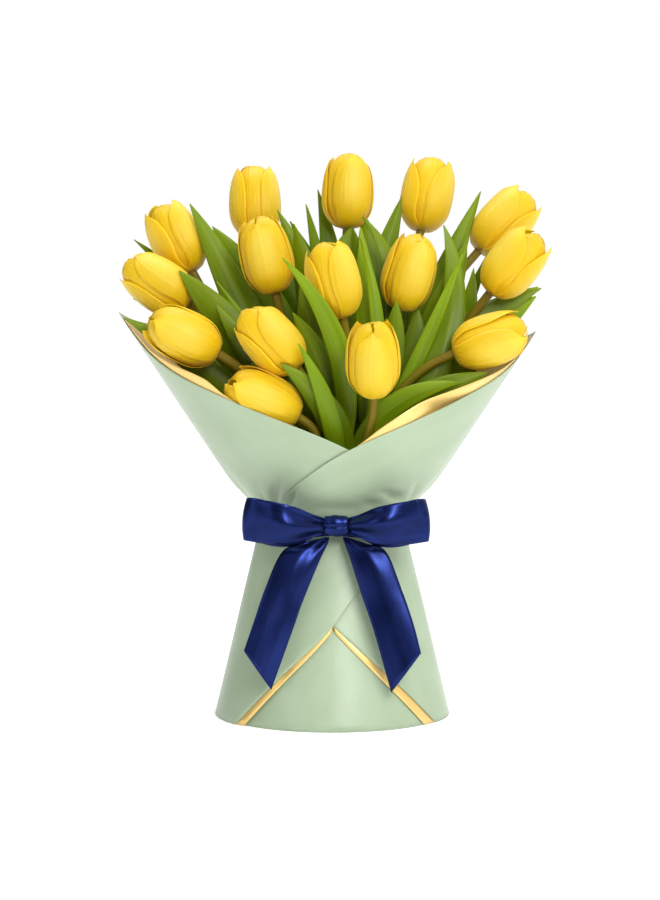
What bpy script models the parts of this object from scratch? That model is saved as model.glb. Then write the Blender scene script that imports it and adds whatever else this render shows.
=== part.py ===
"""Hand-tied bunch of fifteen yellow tulips in a two-tone paper wrap with a ribbon bow.

Metres, +Z up.  The origin lies on the floor under the middle of the paper skirt and the
bow faces -Y.  Every separate piece is its own object: heads, stems, leaves, the twine tie,
the paper sheets and the lengths of ribbon.
"""

import math

import bmesh
import bpy
from mathutils import Matrix, Vector

MM = 0.001
COLLECTION = "bunch_of_tulips"

# ---- driving dimensions ------------------------------------------------------------------
WAIST_Z = 0.158          # where the wrap is narrowest, under the ribbon
WAIST_X = 0.0625         # half width of the wrap there
WAIST_Y = 0.048          # half depth of the wrap there
HEM_RADIUS = 0.0975      # the skirt stands on a round hem
FLARE_X = 0.66           # growth of the half width for each metre above the waist
FLARE_FRONT = 0.42       # the same for the half depth in front
FLARE_BACK = 0.375       # and behind
PAPER = 0.0005           # thickness of a sheet as modelled
PLY = 0.0012             # distance from one sheet to the next one inside it
SHEET_STEP = 10          # degrees between the straight lines that make up a sheet
SHEET_SPLIT = 0.163      # the upper wrap starts here, and the skirt ends 2 mm lower
SPLIT_GAP = 0.002
HEM_LIFT = 0.0003        # the outer sheets end this far above the floor
INNER_SKIRT_TOP = 0.120
CUTTER_OVERRUN = 0.01    # a cutter runs this far past the faces that it opens
RIM_ANGLE = 40           # edges sharper than this many degrees stay crisp
INNER_SKIRT_PLIES = 4.2  # how many plies the inner skirt lies below the outermost one

TIE_Z = 0.168            # height of the twine tie
TIE_RADIUS = 0.0010
STEM_PITCH = 0.0110      # distance between neighbouring stems inside the tie
STEM_RADIUS = 0.0038
STEM_SIDES = 2           # bevel resolution of a stem
FOOT_SPREAD = 2.2        # the cut ends stand this much wider apart than at the tie
FOOT_TWIST = 35          # degrees that the bunch turns between the tie and the floor
CONTACT_GAP = 0.0004     # left between pieces that touch

FOOT_STEPS = 3           # straight pieces of a stem below the tie
NECK_STEPS = 7           # and above it
LEAVE_SPREAD, LEAVE_RISE = 1.2, 0.33   # how a stem leaves the tie: outward, and up as a share of its reach
ARRIVE_SHARE = 0.34      # share of that reach over which it turns into its head

HEAD_LENGTH = 0.065
HEAD_RADIUS = 0.0215
HEAD_LOBES = 0.03        # how far the outer petals stand out from a round head
HEAD_AROUND, HEAD_ALONG = 12, 9        # faces round a head and from its foot to its tip
HEAD_PROFILE = ((0.0, 0.0), (0.03, 0.45), (0.12, 0.74), (0.25, 0.95), (0.41, 1.0), (0.6, 0.96), (0.75, 0.84),
                (0.88, 0.64), (0.97, 0.34), (1.0, 0.0))
LEAF_THICKNESS = 0.0009
LEAF_START = 0.14        # how far along its swelling outline a blade starts at its foot
LEAF_SKEW = 1.15         # puts the widest place a little below the middle
LEAF_FULLNESS = 0.85     # below 1 makes the outline fuller
LEAF_TIP = 0.05          # width of the blunt tip as a share of the full width
LEAF_CHANNEL = 0.22      # depth of the channel along the blade as a share of its half width
LEAF_COLUMNS, LEAF_ROWS = 2, 8
RIBBON_THICKNESS = 0.0007
BAND_LOW, BAND_MIDDLE, BAND_HIGH = 0.147, 0.162, 0.180
BAND_PINCH = 0.008       # the band narrows by this much above and below the knot
BAND_PINCH_ANGLE = 45    # and is full again this many degrees to either side
BAND_CLEARANCE = 0.0016
KNOT_PLACE = (0.0025, -0.0640, 0.1645)
KNOT_SIZE = (0.019, 0.013, 0.017)
KNOT_ROUNDING = 0.004
KNOT_TO_LOOP = 0.5       # gap in mm between the knot and a loop
LOOP_FULLNESS = 0.8      # below 1 gives the far end of a loop a rounder turn
LOOP_STEPS = 14          # straight pieces from the knot round a loop and back

# ---- where each tulip goes -----------------------------------------------------------------
# name: foot of the head in mm, lean to the right and lean to the front in degrees,
# and the place of its stem in the tie, in steps along and across a honeycomb
TULIPS = {
    "01": ((-66, 72, 397), (-2, -16), (-0.5, 2)),
    "02": ((12, 60, 406), (2, -8), (0, 1)),
    "03": ((75, 70, 404), (11, -15), (1, 1)),
    "04": ((124, 60, 387), (42, -10), (0.5, 2)),
    "05": ((131, 12, 352), (38, 6), (1.5, 0)),
    "06": ((-119, 48, 369), (-27, -8), (-1, 1)),
    "07": ((-119, 12, 342), (-57, -8), (-1.5, 0)),
    "08": ((-94, -32, 303), (-62, 8), (-2, -1)),
    "09": ((-48, 6, 352), (-14, 6), (-0.5, 0)),
    "10": ((8, -28, 332), (-14, 4), (0, -1)),
    "11": ((55, 4, 338), (16, 2), (0.5, 0)),
    "12": ((-29, -42, 291), (-42, 6), (-1, -1)),
    "13": ((33, -77, 271), (-2, 22), (0.5, -2)),
    "14": ((99, -26, 303), (71, 4), (1, -1)),
    "15": ((-28, -50, 252), (-62, 8), (-0.5, -2)),
}

# ---- where each leaf goes ------------------------------------------------------------------
# name: foot in mm, the point it bends through, its tip, its width in mm and its turn in degrees
LEAVES = {
    "01": ((-19, 5, 198), (-59, 11, 320), (-121, 41, 427), 31, 13),
    "02": ((-31, 3, 185), (-63, 81, 315), (-170, 63, 397), 22, 14),
    "03": ((-23, 7, 196), (-63, 30, 312), (-169, 40, 347), 23, -4),
    "04": ((-22, -7, 189), (-79, -13, 284), (-173, -12, 332), 25, 0),
    "05": ((-6, 6, 195), (7, 32, 317), (-47, 43, 422), 27, -6),
    "06": ((-20, 20, 192), (7, 40, 313), (-23, 70, 427), 19, -7),
    "07": ((-7, 28, 221), (15, 71, 329), (-13, 83, 440), 24, 4),
    "08": ((-2, -21, 191), (36, -45, 302), (-41, -59, 382), 19, -9),
    "09": ((31, -7, 191), (34, -33, 305), (23, 12, 407), 24, -3),
    "10": ((15, -21, 186), (56, -37, 295), (22, -14, 400), 13, 0),
    "11": ((0, 21, 200), (23, 49, 319), (60, 69, 435), 29, 8),
    "12": ((21, 8, 202), (74, 32, 321), (126, 61, 438), 25, -3),
    "13": ((33, -4, 216), (73, -2, 313), (115, 35, 399), 22, -15),
    "14": ((3, 8, 217), (72, 18, 310), (175, 23, 356), 30, 0),
    "15": ((17, -3, 194), (68, -21, 286), (107, -17, 385), 13, -1),
    "16": ((0, -22, 183), (11, -70, 246), (-28, -70, 313), 16, -5),
    "17": ((-6, -9, 186), (12, -14, 271), (-33, -39, 337), 30, -1),
    "18": ((10, -23, 196), (32, -59, 276), (105, -49, 280), 19, 2),
}

# ---- edges of the sheets -------------------------------------------------------------------
# angle from the front, positive to the right and running on past a full turn, and height in mm
UPPER_RIM = (
    (50, 178), (30, 202), (8, 226), (-39, 267), (-75, 303), (-90, 337), (-110, 327), (-145, 318),
    (-180, 322), (-215, 316), (-250, 314), (-270, 321), (-280, 297), (-310, 267), (-328, 250),
    (-354, 226), (-380, 197), (-400, 178),
)
UPPER_TRIM = ((50, -2), (-36, -1), (-42, 4), (-52, 10), (-76, 5), (-90, -3), (-270, -3), (-282, 4),
              (-306, 10), (-320, 13), (-333, 12), (-348, 1), (-354, -1), (-400, -2))
SKIRT_HEM = ((-40, 128), (-20, 106), (0, 83), (30, 44), (60, 0), (306, 0), (333, 44), (360, 83),
             (377, 112), (400, 146))
SKIRT_TRIM = ((-40, 4), (-10, 4), (0, -4), (30, -9), (60, -14), (66, -14), (300, -10), (306, -10),
              (333, -7), (360, -4), (370, 4), (400, 4))

# ---- the bow -------------------------------------------------------------------------------
# each loop: side, reach from the knot, height of its far end above the knot, lean of that end
LOOPS = {"left": (-1, 66, 4.5), "right": (1, 66, 3.0)}
LOOP_HALF_HEIGHTS = ((0, 7.5), (10, 11), (24, 17), (40, 18.5), (66, 18.5))
LOOP_DEPTH, LOOP_KNOT_DEPTH = 12.5, 7.0
LOOP_MIDDLE_Y = -66.8
# each tail: places of its outer and inner edge in mm, to the right and up, from the knot to the cut
TAILS = {
    "left": (((-6, 155), (-3, 155)), ((-27, 150), (-5, 149)), ((-42, 143), (-11, 137)),
             ((-55, 115), (-24, 106)), ((-64, 89), (-33, 81)), ((-72, 66), (-50, 34))),
    "right": (((11, 155), (8, 155)), ((27, 150), (10, 149)), ((43, 144), (14, 138)),
              ((56, 113), (24, 107)), ((65, 87), (33, 81)), ((71, 64), (47, 32))),
}
TAIL_TOP_Y, TAIL_SLOPE = -0.0630, 0.15


def remove_everything():
    """Empty the scene before the bunch is built."""
    for obj in list(bpy.data.objects):
        bpy.data.objects.remove(obj, do_unlink=True)


def material(name, colour, roughness, metallic=0.0):
    """A Principled material of one colour."""
    mat = bpy.data.materials.get(name) or bpy.data.materials.new(name)
    mat.use_nodes = True
    shader = mat.node_tree.nodes["Principled BSDF"]
    shader.inputs["Base Color"].default_value = (*colour, 1.0)
    shader.inputs["Roughness"].default_value = roughness
    shader.inputs["Metallic"].default_value = metallic
    return mat


def add_object(name, data, mat, collection):
    """Put one named object into the bunch's collection and give it its material."""
    obj = bpy.data.objects.new(name, data)
    collection.objects.link(obj)
    data.materials.append(mat)
    return obj


def along(pairs, x):
    """Read the straight-line curve through pairs of numbers at x, in either direction."""
    ordered = sorted(pairs)
    if x <= ordered[0][0]:
        return ordered[0][1]
    for (x0, y0), (x1, y1) in zip(ordered, ordered[1:]):
        if x <= x1:
            return y0 + (y1 - y0) * (x - x0) / (x1 - x0)
    return ordered[-1][1]


def thick_object(name, bm, thickness, mat, collection):
    """Turn a shaped surface into a closed solid of even thickness."""
    mesh = bpy.data.meshes.new(name)
    bm.to_mesh(mesh)
    bm.free()
    mesh.shade_smooth()
    obj = add_object(name, mesh, mat, collection)
    solid = obj.modifiers.new("thickness", "SOLIDIFY")
    solid.thickness = thickness
    solid.offset = 0.0


def sheet_object(name, columns, rows, place, thickness, mat, collection):
    """Bend a flat grid by place(u, v), with u and v from 0 to 1, and make it a closed solid."""
    bm = bmesh.new()
    bmesh.ops.create_grid(bm, x_segments=columns, y_segments=rows, size=0.5)
    for vert in bm.verts:
        vert.co = place(vert.co.x + 0.5, vert.co.y + 0.5)
    thick_object(name, bm, thickness, mat, collection)


# ---- tulips --------------------------------------------------------------------------------
def head_axis(lean_right, lean_front):
    """Unit vector from the foot of a head to its tip."""
    right, front = math.radians(lean_right), math.radians(lean_front)
    return Vector((math.sin(right) * math.cos(front), -math.sin(front), math.cos(right) * math.cos(front)))


def head_mesh():
    """A closed goblet: blunt foot, widest below the middle, three low tips at the top."""
    bm = bmesh.new()
    bmesh.ops.create_uvsphere(bm, u_segments=HEAD_AROUND, v_segments=HEAD_ALONG, radius=1.0)
    for vert in bm.verts:
        height = (vert.co.z + 1.0) / 2.0
        angle = math.atan2(vert.co.y, vert.co.x)
        lobes = math.cos(3 * angle)
        radius = HEAD_RADIUS * along(HEAD_PROFILE, height) * (1.0 + HEAD_LOBES * lobes)
        tips = HEAD_LOBES * lobes * height ** 4 if radius > 0.0 else 0.0
        vert.co = Vector((radius * math.cos(angle), radius * math.sin(angle), HEAD_LENGTH * (height + tips)))
    mesh = bpy.data.meshes.new("tulip_head")
    bm.to_mesh(mesh)
    bm.free()
    mesh.shade_smooth()
    return mesh


def add_head(name, mesh, foot, lean, collection):
    """Stand one head on its stem."""
    obj = bpy.data.objects.new(name, mesh)
    collection.objects.link(obj)
    turn = Vector((0, 0, 1)).rotation_difference(head_axis(*lean)).to_matrix().to_4x4()
    obj.matrix_world = Matrix.Translation(Vector(foot) * MM) @ turn


def tie_place(step_along, step_across):
    """Centre of a stem inside the tie, on a honeycomb."""
    return Vector((step_along * STEM_PITCH, step_across * STEM_PITCH * math.sqrt(3) / 2, TIE_Z))


def stem_route(foot, lean, steps):
    """Points of one stem from its cut end on the floor to the foot of its head."""
    tie = tie_place(*steps)
    points = []
    for i in range(FOOT_STEPS):
        drop = 1.0 - i / FOOT_STEPS
        turn = Matrix.Rotation(math.radians(FOOT_TWIST) * drop, 3, "Z")
        spread = 1.0 + (FOOT_SPREAD - 1.0) * drop
        flat = turn @ Vector((tie.x * spread, tie.y * spread, 0.0))
        points.append(Vector((flat.x, flat.y, TIE_Z * (1.0 - drop))))
    # the cut end is square to the stem, so its lowest edge is what meets the floor
    slope = (points[1] - points[0]).normalized()
    sink = STEM_RADIUS * math.sqrt(max(0.0, 1.0 - slope.z ** 2)) + 0.0001
    points[0] += slope * (sink / slope.z)
    top = Vector(foot) * MM - head_axis(*lean) * CONTACT_GAP
    reach = (top - tie).length
    leave = tie + Vector((tie.x * LEAVE_SPREAD, tie.y * LEAVE_SPREAD, LEAVE_RISE * reach))
    arrive = top - head_axis(*lean) * ARRIVE_SHARE * reach
    for i in range(NECK_STEPS + 1):
        t = i / NECK_STEPS
        points.append(tie * (1 - t) ** 3 + leave * 3 * t * (1 - t) ** 2
                      + arrive * 3 * t ** 2 * (1 - t) + top * t ** 3)
    return points


def add_tube(name, points, radius, mat, collection, closed=False):
    """A round rod along a row of points."""
    curve = bpy.data.curves.new(name, "CURVE")
    curve.dimensions = "3D"
    curve.bevel_depth = radius
    curve.bevel_resolution = STEM_SIDES
    curve.use_fill_caps = not closed
    spline = curve.splines.new("POLY")
    spline.points.add(len(points) - 1)
    for point, place in zip(spline.points, points):
        point.co = (*place, 1.0)
    spline.use_cyclic_u = closed
    return add_object(name, curve, mat, collection)


# ---- leaves --------------------------------------------------------------------------------
def leaf_place(foot, bend, tip, width, turn):
    """Return place(u, v) for one blade: v runs from its foot to its tip, u across it."""
    foot, bend, tip = (Vector(p) * MM for p in (foot, bend, tip))

    def spine(v):
        return foot * (1 - v) ** 2 + bend * 2 * v * (1 - v) + tip * v ** 2

    def place(u, v):
        here = spine(v)
        run = (spine(min(1.0, v + 0.02)) - spine(max(0.0, v - 0.02))).normalized()
        side = run.cross(Vector((0, -1, 0)))
        side = side.normalized() if side.length > 0.05 else Vector((1, 0, 0))
        side = Matrix.Rotation(math.radians(turn), 3, run) @ side
        face = side.cross(run)
        swell = math.sin(math.pi * (LEAF_START + (1 - LEAF_START) * v) ** LEAF_SKEW)
        half = width * MM / 2 * (LEAF_TIP + (1 - LEAF_TIP) * max(0.0, swell) ** LEAF_FULLNESS)
        across = 2 * u - 1
        channel = LEAF_CHANNEL * half * across ** 2
        return here + side * across * half - face * channel

    return place


# ---- paper ---------------------------------------------------------------------------------
def upper_section(height):
    """Half width, half depth in front and half depth behind of the upper wrap."""
    rise = height - WAIST_Z
    return WAIST_X + FLARE_X * rise, WAIST_Y + FLARE_FRONT * rise, WAIST_Y + FLARE_BACK * rise


def skirt_section(height):
    """Half width and half depth, twice, of the skirt."""
    rise = height / WAIST_Z
    deep = HEM_RADIUS + (WAIST_Y - HEM_RADIUS) * rise
    return HEM_RADIUS + (WAIST_X - HEM_RADIUS) * rise, deep, deep


def paper_point(section, angle, height, inset):
    """Point on a paper cone at an angle from the front, set in from its outermost ply."""
    wide, front, back = section(height)
    turn = math.radians(angle)
    ahead = math.cos(turn)
    deep = front if ahead > 0 else back
    return Vector(((wide - inset) * math.sin(turn), -(deep - inset) * ahead, height))


def rolled_sheet(name, section, ends, low, high, under, mat, collection):
    """A sheet rolled once round the bunch and over itself, from the ply below to the ply on top.

    ends are its first and last angle; low(angle) and high(angle) its edges; under how many
    plies it lies below the outermost one.
    """
    first, last = ends
    columns = round(abs(last - first) / SHEET_STEP)

    def place(u, v):
        angle = first + (last - first) * u
        turns_left = abs(last - angle) / 360.0
        inset = PLY * (under + 2.0 * turns_left)
        height = low(angle) + (high(angle) - low(angle)) * v
        return paper_point(section, angle, height, inset)

    sheet_object(name, columns, 2, place, PAPER, mat, collection)


def frustum(name, low_inset, below, above, collection):
    """A solid cone shaped like the skirt, set in from it, between two heights."""
    bm = bmesh.new()
    bmesh.ops.create_cone(bm, cap_ends=True, segments=round(360 / SHEET_STEP), radius1=1, radius2=1, depth=1)
    for vert in bm.verts:
        angle = math.degrees(math.atan2(vert.co.x, -vert.co.y))
        height = below if vert.co.z < 0 else above
        vert.co = paper_point(skirt_section, angle, height, low_inset)
    mesh = bpy.data.meshes.new(name)
    bm.to_mesh(mesh)
    bm.free()
    mesh.shade_smooth()
    mesh.set_sharp_from_angle(angle=math.radians(RIM_ANGLE))
    obj = bpy.data.objects.new(name, mesh)
    collection.objects.link(obj)
    return obj


def add_inner_skirt(mat, collection, cutters):
    """The sheet behind the upturned V: it goes right round, and its flat hem stands on the floor."""
    inset = INNER_SKIRT_PLIES * PLY
    skirt = frustum("skirt_inner", inset, 0.0, INNER_SKIRT_TOP, collection)
    skirt.data.materials.append(mat)
    core = frustum("skirt_hollow", inset + PAPER, -CUTTER_OVERRUN, INNER_SKIRT_TOP + CUTTER_OVERRUN, cutters)
    core.hide_render = True
    core.display_type = "WIRE"
    hollow = skirt.modifiers.new("hollow", "BOOLEAN")
    hollow.operation = "DIFFERENCE"
    hollow.object = core


def add_paper(mint, gold, collection, cutters):
    """The upper wrap and the skirt, each a mint sheet with a gold one inside it."""
    def rim(angle):
        return along(UPPER_RIM, angle) * MM

    def lining_rim(angle):
        return rim(angle) + along(UPPER_TRIM, angle) * MM

    def waist(angle):
        return SHEET_SPLIT

    def hem(angle):
        return max(HEM_LIFT, along(SKIRT_HEM, angle) * MM)

    def lining_hem(angle):
        return max(HEM_LIFT, hem(angle) + along(SKIRT_TRIM, angle) * MM)

    def skirt_top(angle):
        return SHEET_SPLIT - SPLIT_GAP

    rolled_sheet("upper_wrap", upper_section, (50, -400), waist, rim, 0, mint, collection)
    rolled_sheet("upper_lining", upper_section, (50, -400), waist, lining_rim, 1, gold, collection)
    rolled_sheet("skirt_outer", skirt_section, (-40, 400), hem, skirt_top, 0, mint, collection)
    rolled_sheet("skirt_lining", skirt_section, (-40, 400), lining_hem, skirt_top, 1, gold, collection)
    add_inner_skirt(mint, collection, cutters)


# ---- tie and ribbon ------------------------------------------------------------------------
def add_twine_tie(mat, collection):
    """A ring of twine round all the stems."""
    reach = max(math.hypot(*tie_place(*steps).xy) for _, _, steps in TULIPS.values())
    radius = reach + STEM_RADIUS + TIE_RADIUS + CONTACT_GAP
    bpy.ops.mesh.primitive_torus_add(major_radius=radius, minor_radius=TIE_RADIUS, major_segments=24,
                                     minor_segments=6, location=(0, 0, TIE_Z))
    tie = bpy.context.object
    tie.name = "twine_tie"
    tie.data.materials.append(mat)
    tie.data.shade_smooth()
    for other in list(tie.users_collection):
        other.objects.unlink(tie)
    collection.objects.link(tie)


def band_section(height):
    """The band lies over the wrap and the skirt, whichever is wider."""
    upper, skirt = upper_section(height), skirt_section(height)
    return tuple(max(one, two) + BAND_CLEARANCE for one, two in zip(upper, skirt))


def add_band(mat, collection):
    """The ribbon round the waist, pulled narrow behind the knot."""
    def pinch(angle):
        away = min(1.0, abs(angle) / BAND_PINCH_ANGLE)
        return BAND_PINCH * (1.0 - away) ** 0.5

    bm = bmesh.new()
    bmesh.ops.create_cone(bm, cap_ends=False, segments=round(360 / SHEET_STEP), radius1=1, radius2=1, depth=2)
    upright = [e for e in bm.edges if abs(e.verts[0].co.z - e.verts[1].co.z) > 1.0]
    bmesh.ops.subdivide_edges(bm, edges=upright, cuts=1)
    for vert in bm.verts:
        angle = math.degrees(math.atan2(vert.co.x, -vert.co.y))
        level = round(vert.co.z)
        height = {-1: BAND_LOW + pinch(angle), 0: BAND_MIDDLE, 1: BAND_HIGH - pinch(angle)}[level]
        vert.co = paper_point(band_section, angle, height, 0.0)
    thick_object("ribbon_band", bm, RIBBON_THICKNESS, mat, collection)


def add_knot(mat, collection):
    """The knot, a small rounded block in front of the band."""
    bm = bmesh.new()
    bmesh.ops.create_cube(bm, size=1.0)
    bmesh.ops.transform(bm, matrix=Matrix.Diagonal((*KNOT_SIZE, 1.0)), verts=bm.verts)
    mesh = bpy.data.meshes.new("ribbon_knot")
    bm.to_mesh(mesh)
    bm.free()
    mesh.shade_smooth()
    knot = add_object("ribbon_knot", mesh, mat, collection)
    knot.location = KNOT_PLACE
    rounding = knot.modifiers.new("rounding", "BEVEL")
    rounding.width = KNOT_ROUNDING
    rounding.segments = 2


def loop_place(side, reach, lift):
    """Return place(u, v) for one loop: u runs out along its front and back behind, v up it."""
    def place(u, v):
        out = math.sin(math.pi * u) ** LOOP_FULLNESS if 0.0 < u < 1.0 else 0.0
        away = reach * out
        depth = LOOP_KNOT_DEPTH + (LOOP_DEPTH - LOOP_KNOT_DEPTH) * out
        start = KNOT_PLACE[0] / MM + side * (KNOT_SIZE[0] / MM / 2 + KNOT_TO_LOOP)
        x = start + side * away
        y = LOOP_MIDDLE_Y - depth / 2 * math.cos(math.pi * u)
        z = KNOT_PLACE[2] / MM + lift * away / reach + (2 * v - 1) * along(LOOP_HALF_HEIGHTS, away)
        return Vector((x, y, z)) * MM

    return place


def tail_place(edges):
    """Return place(u, v) for one tail: v runs from the knot to the cut, u across it."""
    def place(u, v):
        at = v * (len(edges) - 1)
        i = min(len(edges) - 2, int(at))
        part = at - i
        outer = Vector(edges[i][0]).lerp(Vector(edges[i + 1][0]), part)
        inner = Vector(edges[i][1]).lerp(Vector(edges[i + 1][1]), part)
        flat = outer.lerp(inner, u) * MM
        return Vector((flat.x, TAIL_TOP_Y - (edges[0][0][1] * MM - flat.y) * TAIL_SLOPE, flat.y))

    return place


def add_bow(mat, collection):
    """Two loops and two tails, each a length of ribbon held by the knot."""
    for name, (side, reach, lift) in LOOPS.items():
        sheet_object(f"bow_loop_{name}", LOOP_STEPS, 1, loop_place(side, reach, lift), RIBBON_THICKNESS, mat,
                     collection)
    for name, edges in TAILS.items():
        sheet_object(f"bow_tail_{name}", 2, len(edges) - 1, tail_place(edges), RIBBON_THICKNESS, mat,
                     collection)


def main():
    """Build every piece of the bunch."""
    remove_everything()
    collection = bpy.data.collections.new(COLLECTION)
    bpy.context.scene.collection.children.link(collection)
    cutters = bpy.data.collections.new("cutters")
    bpy.context.scene.collection.children.link(cutters)
    petal = material("tulip_yellow", (0.95, 0.62, 0.02), 0.45)
    stem = material("stem_green", (0.28, 0.26, 0.05), 0.5)
    leaf = material("leaf_green", (0.06, 0.16, 0.02), 0.4)
    mint = material("mint_paper", (0.50, 0.66, 0.46), 0.55)
    gold = material("gold_paper", (0.72, 0.43, 0.10), 0.35)
    satin = material("navy_satin", (0.012, 0.020, 0.17), 0.3)
    twine = material("twine", (0.45, 0.33, 0.18), 0.9)

    head = head_mesh()
    head.materials.append(petal)
    for name, (foot, lean, steps) in TULIPS.items():
        add_head(f"head_{name}", head, foot, lean, collection)
        add_tube(f"stem_{name}", stem_route(foot, lean, steps), STEM_RADIUS, stem, collection)
    for name, values in LEAVES.items():
        sheet_object(f"leaf_{name}", LEAF_COLUMNS, LEAF_ROWS, leaf_place(*values), LEAF_THICKNESS, leaf,
                     collection)
    add_paper(mint, gold, collection, cutters)
    add_twine_tie(twine, collection)
    add_band(satin, collection)
    add_knot(satin, collection)
    add_bow(satin, collection)


main()
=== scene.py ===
"""Looks of a hand-tied bunch of fifteen yellow tulips.

The bunch stands in a two-tone paper wrap: an upper cone that holds the flowers, a skirt
that it stands on, and a satin ribbon tied in a bow round the waist between them.
Metres, +Z up, the bow faces -Y.  Heads and stems are read from the fixed frame; leaves,
paper and ribbon repeat the frame's own curves with a finer surface.
"""

from __future__ import annotations

import logging
import math
import random
from collections.abc import Callable, Sequence
from dataclasses import dataclass, field, replace
from enum import Enum

import bpy
import numpy as np
from mathutils import Matrix, Vector

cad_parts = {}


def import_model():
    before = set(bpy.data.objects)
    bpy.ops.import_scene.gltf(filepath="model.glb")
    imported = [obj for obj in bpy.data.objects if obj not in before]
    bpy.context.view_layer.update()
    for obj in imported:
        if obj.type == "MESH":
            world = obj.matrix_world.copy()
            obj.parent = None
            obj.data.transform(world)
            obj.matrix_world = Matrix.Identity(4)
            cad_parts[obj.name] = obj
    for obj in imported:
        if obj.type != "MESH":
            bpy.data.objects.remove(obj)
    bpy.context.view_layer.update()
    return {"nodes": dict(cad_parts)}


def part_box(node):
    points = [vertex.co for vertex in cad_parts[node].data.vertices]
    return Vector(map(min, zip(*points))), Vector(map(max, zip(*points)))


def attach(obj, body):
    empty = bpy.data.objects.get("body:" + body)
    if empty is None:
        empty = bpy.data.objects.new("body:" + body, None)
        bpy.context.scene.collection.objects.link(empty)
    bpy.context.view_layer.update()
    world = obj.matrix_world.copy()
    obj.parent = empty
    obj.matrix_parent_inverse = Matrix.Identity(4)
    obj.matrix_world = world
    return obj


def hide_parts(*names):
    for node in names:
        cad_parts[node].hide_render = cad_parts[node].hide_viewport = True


MM = 0.001
BODY = "root"
LOG = logging.getLogger("tulips")

Colour = tuple[float, float, float]
Place = Callable[[float, float], Vector]


class Slot(Enum):
    """The record's material slots."""

    PETAL = "petal"
    STEM = "stem"
    LEAF = "leaf"
    MINT = "mint_paper"
    GOLD = "gold_paper"
    SATIN = "satin"
    TWINE = "twine"


# ---- small tools ----------------------------------------------------------------------------
def smooth(x: float) -> float:
    """Ease from 0 to 1 as x goes from 0 to 1."""
    x = min(1.0, max(0.0, x))
    return x * x * (3.0 - 2.0 * x)


def mix(a: float, b: float, t: float) -> float:
    """Go from a to b as t goes from 0 to 1."""
    return a + (b - a) * t


@dataclass(frozen=True)
class Outline:
    """A smooth curve through a few points, given as position and value.

    corners are the positions where the curve may turn sharply.
    """

    points: tuple[tuple[float, float], ...]
    corners: tuple[float, ...] = ()

    def at(self, x: float) -> float:
        """Read the curve.

        Args:
            x: The position; beyond the ends the end value holds.

        Returns:
            The value there.
        """
        pts = sorted(self.points)
        if x <= pts[0][0]:
            return pts[0][1]
        if x >= pts[-1][0]:
            return pts[-1][1]
        i = next(k for k in range(len(pts) - 1) if x <= pts[k + 1][0])
        (x0, y0), (x1, y1) = pts[i], pts[i + 1]
        straight = (y1 - y0) / (x1 - x0)
        slopes = []
        for k, (before, after) in ((i, (i - 1, i + 1)), (i + 1, (i, i + 2))):
            if pts[k][0] in self.corners or before < 0 or after >= len(pts):
                slopes.append(straight)
            else:
                slopes.append((pts[after][1] - pts[before][1]) / (pts[after][0] - pts[before][0]))
        step = x1 - x0
        t = (x - x0) / step
        return (y0 * (1 + 2 * t) * (1 - t) ** 2 + slopes[0] * step * t * (1 - t) ** 2
                + y1 * t * t * (3 - 2 * t) + slopes[1] * step * t * t * (t - 1))


def through(points: Sequence[Vector], steps: int) -> list[Vector]:
    """Resample a smooth curve through a row of points.

    Args:
        points: The points in order.
        steps: How many pieces each gap is cut into.

    Returns:
        The finer row of points, ends included.
    """
    ends = [points[0] * 2 - points[1], *points, points[-1] * 2 - points[-2]]
    found = []
    for i in range(1, len(ends) - 2):
        a, b, c, d = ends[i - 1:i + 3]
        for k in range(steps):
            t = k / steps
            found.append(0.5 * (2 * b + (c - a) * t + (2 * a - 5 * b + 4 * c - d) * t * t
                                + (3 * b - a - 3 * c + d) * t ** 3))
    return [*found, points[-1]]


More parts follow.
